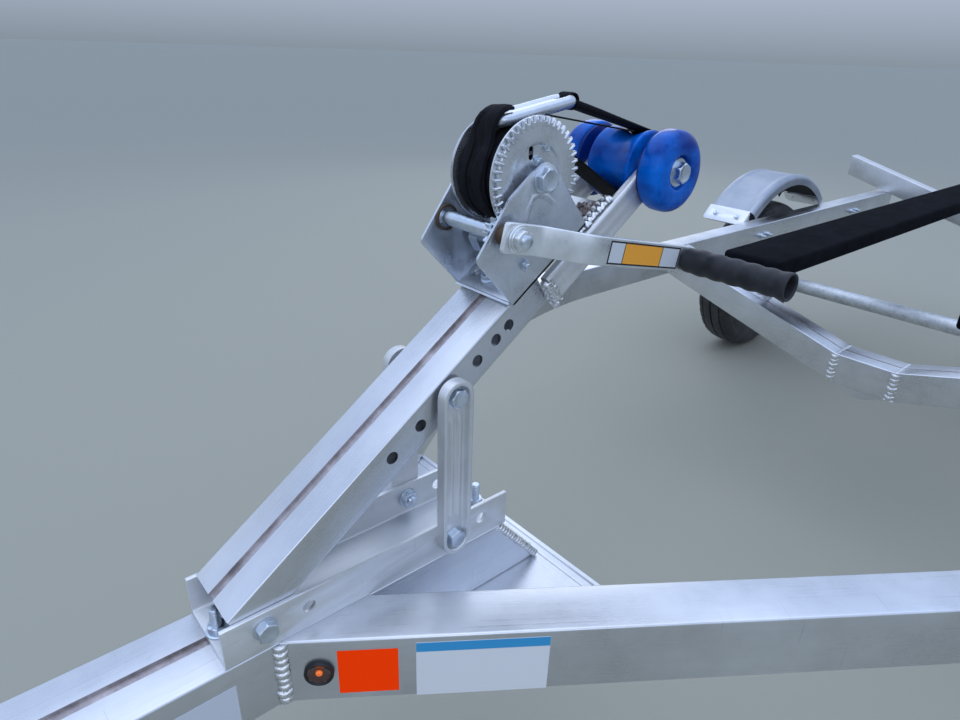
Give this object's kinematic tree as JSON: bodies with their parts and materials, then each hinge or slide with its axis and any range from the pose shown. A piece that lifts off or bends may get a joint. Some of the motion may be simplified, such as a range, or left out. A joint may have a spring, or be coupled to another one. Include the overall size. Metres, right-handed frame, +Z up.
{
  "type": "boat trailer",
  "caption": "Single-axle boat trailer with an aluminium frame, bunk boards, hand winch, bow roller, fenders and a swing-up wheeled jack.",
  "frame": {"origin": "centre of the trailer's overall length and width, on the ground", "axes": "+X forwards to the tow vehicle, +Y to the left, +Z up"},
  "size_m": [4.122, 1.62, 1.0236],
  "materials": {
    "mill_aluminium": "extruded, mill finish, satin",
    "fender_sheet": "rolled sheet, satin",
    "galvanised": "hot-dip galvanised, dull",
    "zinc": "bright zinc plated",
    "tyre": "treaded rubber",
    "black_rubber": "smooth, dull",
    "grip_rubber": "ribbed, dull",
    "carpet": "short pile carpet",
    "webbing": "woven polyester webbing",
    "blue_roller": "glossy, slightly translucent polyurethane",
    "amber_lens": "clear lens",
    "red_lens": "clear lens"
  },
  "bodies": {
    "trailer": {"axle": "galvanised", "axle_clamps": "galvanised", "bunk_brackets": "mill_aluminium", "bunk_left": "carpet", "bunk_right": "carpet", "coupler": "zinc", "coupler_latch": "zinc", "cross_member_front": "mill_aluminium", "cross_member_rear": "mill_aluminium", "fender_brackets": "mill_aluminium", "fender_left": "fender_sheet", "fender_right": "fender_sheet", "gusset_plate": "mill_aluminium", "jack_mount": "zinc", "marker_lamps": "amber_lens", "post_bolts": "zinc", "post_bracket": "mill_aluminium", "post_struts": "mill_aluminium", "rail_left": "mill_aluminium", "rail_right": "mill_aluminium", "roller_arms": "mill_aluminium", "roller_bolt": "zinc", "spring_hangers": "galvanised", "spring_left": "galvanised", "spring_right": "galvanised", "strap_hook": "zinc", "strap_run": "webbing", "tail_lamps": "red_lens", "tongue": "mill_aluminium", "winch_frame": "zinc", "winch_post": "mill_aluminium"},
    "wheel_left": {"hub_left": "galvanised", "rim_left": "galvanised", "tyre_left": "tyre"},
    "wheel_right": {"hub_right": "galvanised", "rim_right": "galvanised", "tyre_right": "tyre"},
    "drum": {"winch_drum": "zinc", "winch_strap": "webbing"},
    "crank": {"crank_shaft": "zinc", "winch_crank": "zinc", "crank_grip": "grip_rubber"},
    "roller": {"bow_roller": "blue_roller"},
    "jack": {"jack_tube": "zinc", "jack_crank": "zinc"},
    "jack_ram": {"jack_leg": "zinc"},
    "caster": {"jack_caster": "zinc"},
    "caster_wheel": {"jack_wheel": "black_rubber"}
  },
  "joints": [
    {"name": "wheel_left_spin", "type": "hinge", "parent": "trailer", "child": "wheel_left", "pos_m": [-1.184, 0.737, 0.287], "axis": [0, 1, 0], "continuous": true},
    {"name": "wheel_right_spin", "type": "hinge", "parent": "trailer", "child": "wheel_right", "pos_m": [-1.184, -0.737, 0.287], "axis": [0, 1, 0], "continuous": true},
    {"name": "drum_spin", "type": "hinge", "parent": "trailer", "child": "drum", "pos_m": [0.85679, 0, 0.9502], "axis": [0, 1, 0], "continuous": true},
    {"name": "crank_spin", "type": "hinge", "parent": "trailer", "child": "crank", "pos_m": [0.90819, 0, 0.90339], "axis": [0, 1, 0], "continuous": true},
    {"name": "roller_spin", "type": "hinge", "parent": "trailer", "child": "roller", "pos_m": [0.66657, 0, 0.94459], "axis": [0, 1, 0], "continuous": true},
    {"name": "jack_swing", "type": "hinge", "parent": "trailer", "child": "jack", "pos_m": [1.741, 0.1245, 0.509], "axis": [0, 1, 0], "range_deg": [0, 90]},
    {"name": "jack_slide", "type": "slide", "parent": "jack", "child": "jack_ram", "axis": [0, 0, 1], "range_m": [0, 0.15]},
    {"name": "caster_swivel", "type": "hinge", "parent": "jack_ram", "child": "caster", "pos_m": [1.741, 0.1245, 0.15], "axis": [0, 0, 1], "continuous": true},
    {"name": "caster_wheel_spin", "type": "hinge", "parent": "caster", "child": "caster_wheel", "pos_m": [1.741, 0.1245, 0.07], "axis": [0, 1, 0], "continuous": true}
  ],
  "couplings": [
    {"joint": "crank_spin", "follows": "drum_spin", "ratio": -4}
  ]
}
